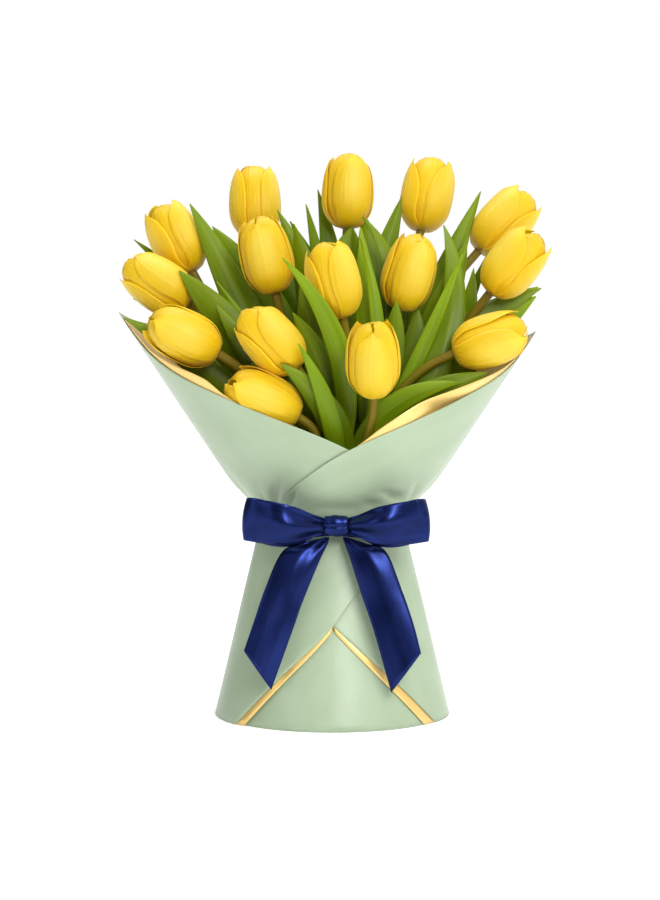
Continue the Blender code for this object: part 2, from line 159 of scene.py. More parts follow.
class Piece:
    """A mesh object in the making, and how it joins the bunch."""

    def __init__(self, name: str) -> None:
        """Start an empty piece."""
        self.name = name
        self.mesh = bpy.data.meshes.new(name)
        self.obj = bpy.data.objects.new(name, self.mesh)
        bpy.context.scene.collection.objects.link(self.obj)

    def fill(self, points: list[Vector], faces: list[tuple[int, ...]]) -> None:
        """Put points and faces into the mesh and shade it smooth."""
        self.mesh.from_pydata([tuple(p) for p in points], [], faces)
        self.mesh.shade_smooth()
        self.mesh.update()

    def note(self, name: str, values: Sequence[Sequence[float]]) -> None:
        """Keep three numbers for each point, for the finish to read."""
        made = self.mesh.attributes.new(name, "FLOAT_VECTOR", "POINT")
        made.data.foreach_set("vector", np.asarray(values, np.float32).ravel())

    def grid(self, columns: int, rows: int, place: Place, size: tuple[float, float], tone: float,
             ring: bool = False) -> Piece:
        """Bend a flat grid into shape.

        Args:
            columns: Faces across.
            rows: Faces along.
            place: Gives a point for u across and v along, each from 0 to 1.
            size: Width and length of the flat sheet, for the grain of the finish.
            tone: A number of this piece's own that shifts its pattern.
            ring: Whether the last column meets the first.

        Returns:
            This piece.
        """
        across = columns if ring else columns + 1
        points, grain, span = [], [], []
        for j in range(rows + 1):
            for i in range(across):
                u, v = i / columns, j / rows
                points.append(place(u, v))
                grain.append((u * size[0], v * size[1], tone))
                span.append((2 * u - 1, v, tone))
        faces = []
        for j in range(rows):
            for i in range(columns):
                k = (i + 1) % across
                faces.append((j * across + i, j * across + k, (j + 1) * across + k, (j + 1) * across + i))
        self.fill(points, faces)
        self.note("grain", grain)
        self.note("span", span)
        return self

    def thicken(self, thickness: float, offset: float = 0.0) -> Piece:
        """Make the surface a closed sheet of even thickness."""
        solid = self.obj.modifiers.new("thickness", "SOLIDIFY")
        solid.thickness = thickness
        solid.offset = offset
        return self

    def dress(self, finish: bpy.types.Material, slot: Slot, *stands_for: str) -> bpy.types.Object:
        """Give the piece its finish and fix it to the bunch.

        Args:
            finish: The material.
            slot: The record's slot that it belongs to; not used.
            stands_for: The frame nodes that it replaces.

        Returns:
            The finished object.
        """
        self.mesh.materials.append(finish)
        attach(self.obj, BODY)
        if stands_for:
            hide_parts(*stands_for)
        LOG.info("%s: %d points", self.name, len(self.mesh.vertices))
        return self.obj


# ---- finishes -------------------------------------------------------------------------------
class Recipe:
    """A Principled material, and the steps that its pattern is mixed from."""

    def __init__(self, name: str, **settings: float | Colour) -> None:
        """Start a material with plain values on its shader's sockets.

        Args:
            name: The material's name.
            settings: Values for the sockets, each under its name in small letters.
        """
        self.material = bpy.data.materials.new(name)
        self.material.use_nodes = True
        self.tree = self.material.node_tree
        self.shader = self.tree.nodes["Principled BSDF"]
        for key, value in settings.items():
            socket = self.shader.inputs[key.replace("_", " ").title().replace("Ior", "IOR")]
            if isinstance(value, tuple) and len(socket.default_value) == 4:
                value = (*value, 1.0)
            socket.default_value = value

    def node(self, kind: str, feeds: dict[str | int, object], **settings: object) -> bpy.types.Node:
        """Add a node.

        Args:
            kind: The node's type, without its prefix.
            feeds: What goes into its inputs: sockets or plain values.
            settings: Its own settings.

        Returns:
            The node.
        """
        made = self.tree.nodes.new("ShaderNode" + kind)
        for key, value in settings.items():
            setattr(made, key, value)
        for key, value in feeds.items():
            if isinstance(value, bpy.types.NodeSocket):
                self.tree.links.new(value, made.inputs[key])
            else:
                made.inputs[key].default_value = value
        return made

    def noted(self, name: str) -> bpy.types.NodeSocket:
        """Read three numbers kept on the mesh."""
        return self.node("Attribute", {}, attribute_name=name).outputs["Vector"]

    def part(self, vector: bpy.types.NodeSocket, axis: str) -> bpy.types.NodeSocket:
        """One of a vector's numbers."""
        return self.node("SeparateXYZ", {0: vector}).outputs[axis]

    def math(self, operation: str, a: object, b: object = 0.0, clamp: bool = False) -> bpy.types.NodeSocket:
        """Work out one number from two."""
        return self.node("Math", {0: a, 1: b}, operation=operation, use_clamp=clamp).outputs[0]

    def spread(self, value: object, low: float, high: float, to_low: float = 0.0,
               to_high: float = 1.0) -> bpy.types.NodeSocket:
        """Ease from one range to another, held at the ends."""
        feeds = {0: value, 1: low, 2: high, 3: to_low, 4: to_high}
        return self.node("MapRange", feeds, interpolation_type="SMOOTHSTEP").outputs[0]

    def scaled(self, vector: bpy.types.NodeSocket, scale: Colour) -> bpy.types.NodeSocket:
        """Stretch coordinates."""
        return self.node("Mapping", {"Vector": vector, "Scale": scale}).outputs[0]

    def cloud(self, vector: bpy.types.NodeSocket, scale: Colour, detail: float = 3.0,
              roughness: float = 0.55) -> bpy.types.NodeSocket:
        """Soft noise over stretched coordinates, around 0.5."""
        feeds = {"Vector": self.scaled(vector, scale), "Scale": 1.0, "Detail": detail, "Roughness": roughness}
        return self.node("TexNoise", feeds).outputs["Fac"]

    def blend(self, amount: object, a: object, b: object) -> bpy.types.NodeSocket:
        """Mix two colours.

        Args:
            amount: The share of the second colour.
            a: The first colour.
            b: The second colour.

        Returns:
            The mixed colour.
        """
        made = self.node("Mix", {}, data_type="RGBA")
        for key, value in ((0, amount), (6, a), (7, b)):
            if isinstance(value, bpy.types.NodeSocket):
                self.tree.links.new(value, made.inputs[key])
            elif isinstance(value, tuple):
                made.inputs[key].default_value = (*value, 1.0)
            else:
                made.inputs[key].default_value = value
        return made.outputs[2]

    def bump(self, height: bpy.types.NodeSocket, strength: float, depth: float,
             under: bpy.types.NodeSocket | None = None) -> bpy.types.NodeSocket:
        """Raise the surface by a height, in metres for a full step of it."""
        feeds = {"Height": height, "Strength": strength, "Distance": depth}
        if under is not None:
            feeds["Normal"] = under
        return self.node("Bump", feeds).outputs[0]

    def done(self, colour: object, roughness: object, normal: object | None = None) -> bpy.types.Material:
        """Join the pattern to the shader.

        Args:
            colour: What feeds the base colour.
            roughness: What feeds the roughness.
            normal: What feeds the normal.

        Returns:
            The material.
        """
        for key, value in (("Base Color", colour), ("Roughness", roughness), ("Normal", normal)):
            if isinstance(value, bpy.types.NodeSocket):
                self.tree.links.new(value, self.shader.inputs[key])
            elif value is not None:
                self.shader.inputs[key].default_value = value
        return self.material


@dataclass(frozen=True)
class PetalFinish:
    """Waxy petal skin: deep yellow, paler down its middle (partly painted highlight), with fine veins along
    it.
    """

    name: str
    deep: Colour
    pale: Colour
    foot: Colour
    paleness_and_highlight: float

    def make(self) -> bpy.types.Material:
        """Build the material."""
        r = Recipe(self.name, subsurface_weight=0.4, subsurface_scale=0.004,
                   subsurface_radius=(1.0, 0.75, 0.12), specular_ior_level=0.28, sheen_weight=0.05,
                   sheen_roughness=0.5)
        span, grain = r.noted("span"), r.noted("grain")
        across, along = r.part(span, "X"), r.part(span, "Y")
        from_middle = r.math("ABSOLUTE", across)
        # The middle, paler up the petal, is partly the petal's own paler middle and partly a painted
        # highlight.
        middle = r.spread(from_middle, 0.1, 0.95, 1.0, 0.0)
        pale_and_highlight_rise = r.math("MULTIPLY", r.spread(along, 0.15, 0.6), r.spread(along, 0.88, 1.0, 1.0, 0.35))
        streak = r.cloud(grain, (700.0, 26.0, 9.0), 4.0, 0.6)
        patch = r.cloud(grain, (70.0, 30.0, 5.0), 2.0)
        light = r.math("MULTIPLY", r.math("MULTIPLY", middle, pale_and_highlight_rise), self.paleness_and_highlight)
        light = r.math("MULTIPLY", light, r.spread(streak, 0.25, 0.7, 0.65, 1.15), clamp=True)
        colour = r.blend(light, self.deep, self.pale)
        # Darker ochre towards the foot: partly the petal's own base tone, partly painted shade.
        colour = r.blend(r.spread(along, 0.0, 0.16, 0.8, 0.0), colour, self.foot)
        rim = r.math("MULTIPLY", r.spread(from_middle, 0.92, 1.0), 0.15)
        colour = r.blend(rim, colour, self.pale)
        colour = r.blend(r.spread(patch, 0.3, 0.75, 0.0, 0.14), colour, self.foot)
        vein = r.cloud(grain, (1500.0, 22.0, 3.0), 3.0, 0.6)
        rib = r.cloud(grain, (330.0, 12.0, 7.0), 2.0)
        normal = r.bump(rib, 0.5, 0.0016)
        normal = r.bump(vein, 0.35, 0.0004, normal)
        return r.done(colour, r.spread(streak, 0.2, 0.8, 0.36, 0.52), normal)


@dataclass(frozen=True)
class LeafFinish:
    """Waxy leaf skin with parallel veins, paler at its foot and along its edges."""

    name: str
    green: Colour
    light: Colour
    foot: Colour

    def make(self) -> bpy.types.Material:
        """Build the material."""
        r = Recipe(self.name, subsurface_weight=0.15, subsurface_scale=0.003,
                   subsurface_radius=(0.5, 1.0, 0.1), specular_ior_level=0.2)
        span, grain = r.noted("span"), r.noted("grain")
        along = r.part(span, "Y")
        from_middle = r.math("ABSOLUTE", r.part(span, "X"))
        vein = r.cloud(grain, (1100.0, 7.0, 5.0), 3.0, 0.6)
        band = r.cloud(grain, (210.0, 5.0, 3.0), 2.0)
        patch = r.cloud(grain, (45.0, 14.0, 3.0), 2.0)
        colour = r.blend(r.spread(band, 0.25, 0.8, 0.1, 0.55), self.green, self.light)
        colour = r.blend(r.spread(vein, 0.45, 0.75, 0.0, 0.2), colour, self.light)
        colour = r.blend(r.spread(from_middle, 0.0, 0.06, 0.3, 0.0), colour, self.light)
        colour = r.blend(r.spread(from_middle, 0.95, 1.0, 0.0, 0.5), colour, self.light)
        colour = r.blend(r.spread(patch, 0.3, 0.7, 0.6, 0.0), colour, self.green)
        colour = r.blend(r.spread(along, 0.0, 0.4, 0.75, 0.0), colour, self.foot)
        colour = r.blend(r.spread(along, 0.6, 1.0, 0.0, 0.35), colour, self.light)
        normal = r.bump(band, 0.3, 0.0010)
        normal = r.bump(vein, 0.3, 0.0003, normal)
        return r.done(colour, r.spread(patch, 0.3, 0.7, 0.34, 0.46), normal)


@dataclass(frozen=True)
class StemFinish:
    """Juicy stem: olive under the head, greener lower down, with faint lengthwise ribs."""

    name: str
    upper: Colour
    lower: Colour
    dark_brown_patch: Colour

    def make(self) -> bpy.types.Material:
        """Build the material."""
        r = Recipe(self.name, subsurface_weight=0.06, subsurface_scale=0.003,
                   subsurface_radius=(0.6, 1.0, 0.2), specular_ior_level=0.25)
        span, grain = r.noted("span"), r.noted("grain")
        along = r.part(span, "Y")
        streak = r.cloud(grain, (600.0, 9.0, 5.0), 3.0)
        patch = r.cloud(grain, (60.0, 22.0, 5.0), 2.0)
        colour = r.blend(r.spread(along, 0.55, 0.95), self.lower, self.upper)
        # Random patches of darker brown.
        colour = r.blend(r.spread(patch, 0.4, 0.7, 0.0, 0.6), colour, self.dark_brown_patch)
        colour = r.blend(r.spread(streak, 0.4, 0.75, 0.0, 0.3), colour, self.upper)
        return r.done(colour, 0.42, r.bump(streak, 0.4, 0.0005))


@dataclass(frozen=True)
class PaperFinish:
    """Smooth coated paper with a pearly sheen and the faint cloudiness of its fibres."""

    name: str
    colour: Colour
    cloudy: Colour
    metallic: float
    roughness: float
    sheen: float

    def make(self) -> bpy.types.Material:
        """Build the material."""
        r = Recipe(self.name, metallic=self.metallic, sheen_weight=self.sheen, sheen_roughness=0.4,
                   specular_ior_level=0.45)
        grain = r.noted("grain")
        fibre = r.cloud(grain, (900.0, 900.0, 3.0), 4.0, 0.65)
        cloud = r.cloud(grain, (28.0, 22.0, 3.0), 3.0)
        colour = r.blend(r.spread(cloud, 0.3, 0.7), self.colour, self.cloudy)
        colour = r.blend(r.spread(fibre, 0.35, 0.75, 0.0, 0.25), colour, self.cloudy)
        rough = r.spread(fibre, 0.3, 0.7, self.roughness - 0.05, self.roughness + 0.06)
        normal = r.bump(cloud, 0.25, 0.0015)
        return r.done(colour, rough, r.bump(fibre, 0.25, 0.00012, normal))


@dataclass(frozen=True)
class SatinFinish:
    """Satin ribbon: fine warp threads that catch the light in their own colour, painted sheen, and a woven
    edge.
    """

    name: str
    colour: Colour
    lit: Colour

    def make(self) -> bpy.types.Material:
        """Build the material."""
        r = Recipe(self.name, metallic=0.85, sheen_weight=0.04, sheen_roughness=0.4,
                   sheen_tint=(0.3, 0.4, 1.0), specular_ior_level=0.4)
        span, grain = r.noted("span"), r.noted("grain")
        thread_and_sheen = r.cloud(grain, (5200.0, 90.0, 3.0), 2.0)
        weft = r.cloud(grain, (160.0, 5200.0, 3.0), 2.0)
        painted_sheen_drift = r.cloud(grain, (90.0, 30.0, 3.0), 2.0)
        edge = r.spread(r.math("ABSOLUTE", r.part(span, "X")), 0.94, 0.97)
        # Soft patches and fine thread streaks towards the lit colour are painted sheen; the lighter woven
        # edge is the ribbon's own.
        colour = r.blend(r.spread(painted_sheen_drift, 0.3, 0.7, 0.0, 0.4), self.colour, self.lit)
        colour = r.blend(r.spread(thread_and_sheen, 0.4, 0.7, 0.0, 0.1), colour, self.lit)
        colour = r.blend(r.math("MULTIPLY", edge, 0.35), colour, self.lit)
        rough = r.spread(thread_and_sheen, 0.3, 0.7, 0.23, 0.28)
        normal = r.bump(weft, 0.1, 0.00002)
        normal = r.bump(thread_and_sheen, 0.1, 0.00002, normal)
        return r.done(colour, rough, r.bump(edge, 0.4, 0.0002, normal))


@dataclass(frozen=True)
class PlainFinish:
    """A mottled finish for the twine, the cut ends of the stems and the floor."""

    name: str
    colour: Colour
    mottle: Colour
    roughness: float
    grain: float

    def make(self) -> bpy.types.Material:
        """Build the material."""
        r = Recipe(self.name)
        where = r.node("TexCoord", {}).outputs["Object"]
        fine = r.cloud(where, (self.grain, self.grain, self.grain), 4.0)
        colour = r.blend(r.spread(fine, 0.35, 0.7), self.colour, self.mottle)
        return r.done(colour, self.roughness, r.bump(fine, 0.3, 0.3 / self.grain))


# ---- tulips ---------------------------------------------------------------------------------
@dataclass(frozen=True)
class Habit:
    """How one head grows: how far it is turned, how open it is, how pointed and broad its petals are."""

    turn: float
    opening: float = 0.1
    point: float = 0.2
    breadth: float = 0.86


class Whorl(Enum):
    """The two rings of three petals."""

    OUTER = "outer"
    INNER = "inner"


@dataclass
class Tulip:
    """One flower: six petals on its stem."""

    number: str
    habit: Habit
    foot: Vector = field(default_factory=Vector)
    axis: Vector = field(default_factory=Vector)
    length: float = 0.065
    radius: float = 0.0215
    route: list[Vector] = field(default_factory=list)
    petal_thickness: float = 0.00025
    stem_radius: float = 0.0038
    inner_inset: float = 0.0006
    pinwheel: dict[Whorl, float] = field(default_factory=lambda: {Whorl.OUTER: 0.012, Whorl.INNER: 0.03})
    shut: dict[Whorl, Outline] = field(default_factory=lambda: {
        Whorl.OUTER: Outline(((0.0, 0.18), (0.03, 0.47), (0.12, 0.74), (0.25, 0.94), (0.41, 1.0), (0.6, 0.98),
                              (0.75, 0.92), (0.87, 0.81), (0.94, 0.70), (1.0, 0.58))),
        Whorl.INNER: Outline(((0.0, 0.17), (0.03, 0.44), (0.12, 0.70), (0.25, 0.90), (0.41, 0.96),
                              (0.6, 0.94), (0.75, 0.86), (0.86, 0.70), (0.93, 0.52), (0.97, 0.34),
                              (1.0, 0.02))),
    })
    spread: dict[Whorl, Outline] = field(default_factory=lambda: {
        Whorl.OUTER: Outline(((0.0, 0.18), (0.03, 0.47), (0.12, 0.74), (0.25, 0.93), (0.41, 1.0), (0.6, 1.03),
                              (0.75, 1.04), (0.88, 1.02), (1.0, 0.98))),
        Whorl.INNER: Outline(((0.0, 0.17), (0.03, 0.44), (0.12, 0.70), (0.25, 0.90), (0.41, 0.96),
                              (0.6, 0.96), (0.75, 0.93), (0.88, 0.86), (1.0, 0.70))),
    })

    def read_frame(self, nodes: dict[str, bpy.types.Object]) -> None:
        """Take the head's place and the stem's route from the frame.

        Args:
            nodes: The frame's objects by name.
        """
        self.route = self.stem_route(nodes[f"stem_{self.number}"])
        head = own_points(nodes[f"head_{self.number}"])
        top = self.route[-1]
        self.foot = min(head, key=lambda p: (p - top).length)
        middle = sum(head, Vector()) / len(head)
        self.axis = (middle - self.foot).normalized()
        self.length = max((p - self.foot).dot(self.axis) for p in head)

    def stem_route(self, stem: bpy.types.Object) -> list[Vector]:
        """Find the middle line of a round rod from the rings of points round it.

        Args:
            stem: The rod.

        Returns:
            The middles of its rings, from the floor up.
        """
        left = own_points(stem)
        middles = []
        while left:
            first = left[0]
            ring = [p for p in left if (p - first).length < 2.3 * self.stem_radius]
            left = [p for p in left if (p - first).length >= 2.3 * self.stem_radius]
            middles.append(sum(ring, Vector()) / len(ring))
        path = [min(middles, key=lambda p: p.z)]
        middles.remove(path[0])
        while middles:
            path.append(min(middles, key=lambda p: (p - path[-1]).length))
            middles.remove(path[-1])
        return path

    def petal_place(self, whorl: Whorl, index: int, dice: random.Random) -> Place:
        """Shape one petal.

        Args:
            whorl: The ring it belongs to.
            index: Its place in the ring, 0 to 2.
            dice: Where its small differences come from.

        Returns:
            A function that gives a point for u across and v along the petal.
        """
        outer = whorl is Whorl.OUTER
        front = Vector((0, -1, 0))
        ahead = (front - self.axis * front.dot(self.axis)).normalized()
        right = self.axis.cross(ahead)
        middle = math.radians(self.habit.turn + 120 * index + (0 if outer else 60) + dice.uniform(-4, 4))
        tall = self.length * (dice.uniform(0.93, 0.985) if outer else dice.uniform(0.97, 1.02))
        opening = min(1.0, max(0.0, self.habit.opening + dice.uniform(-0.08, 0.08)))
        opening *= 1.0 if outer else 0.5
        half_width = self.radius * (self.habit.breadth if outer else 1.08) * dice.uniform(0.97, 1.03)
        point = min(1.0, max(0.0, self.habit.point + dice.uniform(-0.1, 0.1)))
        round_in, round_out = (mix(2.8, 1.7, point), mix(1.9, 1.05, point)) if outer else (3.4, 2.2)
        widest = 0.46
        least = 0.16 if outer else 0.36
        belly = 0.055 if outer else 0.03
        inset = 0.0 if outer else self.inner_inset
        wave, wave_turn = dice.uniform(0.4, 1.0), dice.uniform(0, math.tau)
        lift = dice.uniform(-0.6, 0.6) * MM

        def place(u: float, v: float) -> Vector:
            """Place one point of the petal."""
            across = 2 * u - 1
            if v < widest:
                width = 0.5 + 0.5 * math.sin(math.pi / 2 * v / widest)
            else:
                width = max(0.0, 1 - ((v - widest) / (1 - widest)) ** round_in) ** (1 / round_out)
            width = half_width * max(least, width)
            height = v - 0.04 * across * across * v ** 6
            reach = self.radius * mix(self.shut[whorl].at(height), self.spread[whorl].at(height), opening)
            angle = middle + across * min(1.3, width / max(reach, 0.1 * self.radius))
            reach *= 1 + belly * (1 - across * across) * math.sin(math.pi * min(1.0, v + 0.08))
            reach *= 1 + self.pinwheel[whorl] * across
            edge = smooth((abs(across) - 0.55) / 0.45)
            calm = 1 - smooth((v - 0.85) / 0.15)
            ripple = math.sin(2.4 * across + 9 * v + wave_turn)
            reach += wave * 0.6 * MM * ripple * v ** 3 * (0.4 + edge) * calm
            reach -= inset * smooth(v * 6)
            rise = tall * height + lift * v ** 4
            rise += wave * 0.35 * MM * math.sin(7 * across + wave_turn) * v ** 8
            return self.foot + self.axis * rise + (ahead * math.cos(angle) + right * math.sin(angle)) * reach

        return place

    def build_petals(self, finishes: dict[Whorl, bpy.types.Material]) -> None:
        """Make the six petals.

        Args:
            finishes: The finish of each ring.
        """
        dice = random.Random(int(self.number) * 17)
        for whorl in Whorl:
            for index in range(3):
                place = self.petal_place(whorl, index, dice)
                piece = Piece(f"tulip_{self.number}_{whorl.value}_petal_{index + 1}")
                piece.grid(18, 30, place, (2 * self.radius, self.length), dice.uniform(0, 9))
                piece.thicken(self.petal_thickness, -1.0)
                piece.dress(finishes[whorl], Slot.PETAL, f"head_{self.number}")

    def build_stem(self, finish: bpy.types.Material, cut: bpy.types.Material) -> None:
        """Make the stem, round, a little swollen under the head and cut flat at its foot.

        Args:
            finish: The stem's finish.
            cut: The finish of the cut end.
        """
        route = through([*self.route, self.foot + self.axis * 1.5 * MM], 6)
        sides = 14
        rings = len(route)
        ahead = (route[1] - route[0]).normalized()
        side = ahead.orthogonal().normalized()
        points, grain, span = [], [], []
        long = sum((b - a).length for a, b in zip(route, route[1:]))
        tone = int(self.number) * 0.7
        for i, here in enumerate(route):
            run = (route[min(i + 1, rings - 1)] - route[max(i - 1, 0)]).normalized()
            side = (side - run * side.dot(run)).normalized()
            other = run.cross(side)
            v = i / (rings - 1)
            swell = 0.18 * smooth((v - 0.965) / 0.03)
            radius = self.stem_radius * (1 + 0.04 * math.sin(9 * v + tone) + swell)
            for k in range(sides):
                turn = math.tau * k / sides
                points.append(here + (side * math.cos(turn) + other * math.sin(turn)) * radius)
                grain.append((self.stem_radius * turn, v * long, tone))
                span.append((math.cos(turn), v, tone))
        faces = []
        for i in range(rings - 1):
            for k in range(sides):
                n = (k + 1) % sides
                faces.append((i * sides + k, i * sides + n, (i + 1) * sides + n, (i + 1) * sides + k))
        faces.append(tuple(range(sides))[::-1])
        faces.append(tuple((rings - 1) * sides + k for k in range(sides)))
        piece = Piece(f"tulip_{self.number}_stem")
        piece.fill(points, faces)
        piece.note("grain", grain)
        piece.note("span", span)
        piece.mesh.materials.append(finish)
        piece.dress(cut, Slot.STEM, f"stem_{self.number}")
        piece.mesh.polygons[len(faces) - 2].material_index = 1
        piece.mesh.set_sharp_from_angle(angle=math.radians(60))

    def build(self, finishes: dict[str, bpy.types.Material]) -> None:
        """Make the whole flower."""
        self.build_petals({Whorl.OUTER: finishes["outer_petal"], Whorl.INNER: finishes["inner_petal"]})
        self.build_stem(finishes["stem"], finishes["cut_end"])


def own_points(obj: bpy.types.Object) -> list[Vector]:
    """The different points of a frame node, each once, in a fixed order."""
    co = np.empty(len(obj.data.vertices) * 3, np.float32)
    obj.data.vertices.foreach_get("co", co)
    return [Vector(p) for p in np.unique(np.round(co.reshape(-1, 3).astype(float), 5), axis=0)]


# ---- leaves ---------------------------------------------------------------------------------
class Tone(Enum):
    """The greens that the leaves come in."""

    DEEP = "deep"
    FRESH = "fresh"
    GREY = "grey"


@dataclass(frozen=True)
class Leaf:
    """One blade: foot, the point it bends through and tip in mm, its width in mm and its turn in degrees."""

    foot: tuple[float, float, float]
    bend: tuple[float, float, float]
    tip: tuple[float, float, float]
    width: float
    turn: float = 0.0
    tone: Tone = Tone.DEEP
    thickness: float = 0.0007

    def spine(self, v: float) -> Vector:
        """Point on the middle line, from foot to tip."""
        foot, bend, tip = (Vector(p) * MM for p in (self.foot, self.bend, self.tip))
        return foot * (1 - v) ** 2 + bend * 2 * v * (1 - v) + tip * v ** 2

    def place(self, u: float, v: float) -> Vector:
        """Point on the blade.

        Args:
            u: From 0 to 1 across it.
            v: From 0 at its foot to 1 at its tip.

        Returns:
            The point.
        """
        here = self.spine(v)
        run = (self.spine(min(1.0, v + 0.02)) - self.spine(max(0.0, v - 0.02))).normalized()
        side = run.cross(Vector((0, -1, 0)))
        side = side.normalized() if side.length > 0.05 else Vector((1, 0, 0))
        side = Matrix.Rotation(math.radians(self.turn), 3, run) @ side
        face = side.cross(run)
        swell = math.sin(math.pi * min(1.0, 0.14 + 0.86 * v) ** 1.15)
        half = self.width * MM / 2 * max(0.02, max(0.0, swell) ** 0.85)
        across = 2 * u - 1
        channel = 0.24 * half * abs(across) ** 1.6
        seed = self.width * 0.37 + self.turn * 0.11
        ripple = 0.7 * MM * math.sin(11 * v + seed + 1.3 * across) * abs(across) * smooth(v * 3)
        return here + side * across * half - face * (channel + ripple)

    def build(self, name: str, finishes: dict[str, bpy.types.Material], node: str | None) -> None:
        """Make the blade.

        Args:
            name: The piece's name.
            finishes: All finishes by name.
            node: The frame node that it stands for, if it has one.
        """
        length = (self.spine(1.0) - self.spine(0.0)).length
        piece = Piece(name)
        piece.grid(10, 46, self.place, (self.width * MM, length), self.width * 0.31 + abs(self.turn))
        piece.thicken(self.thickness)
        piece.dress(finishes[f"{self.tone.value}_leaf"], Slot.LEAF, *([node] if node else []))


# ---- paper ----------------------------------------------------------------------------------
@dataclass(frozen=True)
class Dent:
    """A soft hollow that the tie pulls into the paper: its middle, its half sizes and its depth in mm."""

    angle: float
    height: float
    wide: float
    tall: float
    depth: float
    slant: float = 0.0
    creased: bool = False

    def at(self, angle: float, height: float) -> float:
        """How deep the hollow is there, in metres."""
        up = (height / MM - self.height) / self.tall
        aside = ((angle - self.angle + 180) % 360 - 180 - self.slant * up) / self.wide
        return self.depth * MM * math.exp(-(1.5 * abs(aside) if self.creased else aside * aside) - up * up)


@dataclass(frozen=True)
class Cone:
    """The paper's cross-section at each height: an ellipse with its own depth in front and behind."""

    waist_z: float = 0.158
    waist_x: float = 0.0625
    waist_y: float = 0.048
    hem_radius: float = 0.0998
    flare: tuple[float, float, float] = (0.66, 0.42, 0.375)
    pinch: float = 0.0055
    pinch_z: float = 0.176
    pinch_tall: float = 0.013

    def upper(self, height: float) -> tuple[float, float, float]:
        """Half width, half depth in front and behind of the upper wrap."""
        rise = height - self.waist_z
        pull = self.pinch * math.exp(-((height - self.pinch_z) / self.pinch_tall) ** 2)
        return (self.waist_x + self.flare[0] * rise - pull, self.waist_y + self.flare[1] * rise - pull / 2,
                self.waist_y + self.flare[2] * rise - pull / 2)

    def skirt(self, height: float) -> tuple[float, float, float]:
        """Half width and half depth, twice, of the skirt."""
        rise = height / self.waist_z
        deep = mix(self.hem_radius, self.waist_y, rise)
        return mix(self.hem_radius, self.waist_x, rise), deep, deep

    @staticmethod
    def point(section: tuple[float, float, float], angle: float, height: float, inset: float) -> Vector:
        """Point at an angle from the front, set in from the outermost ply."""
        wide, front, back = section
        ahead = math.cos(math.radians(angle))
        deep = front if ahead > 0 else back
        return Vector(((wide - inset) * math.sin(math.radians(angle)), -(deep - inset) * ahead, height))


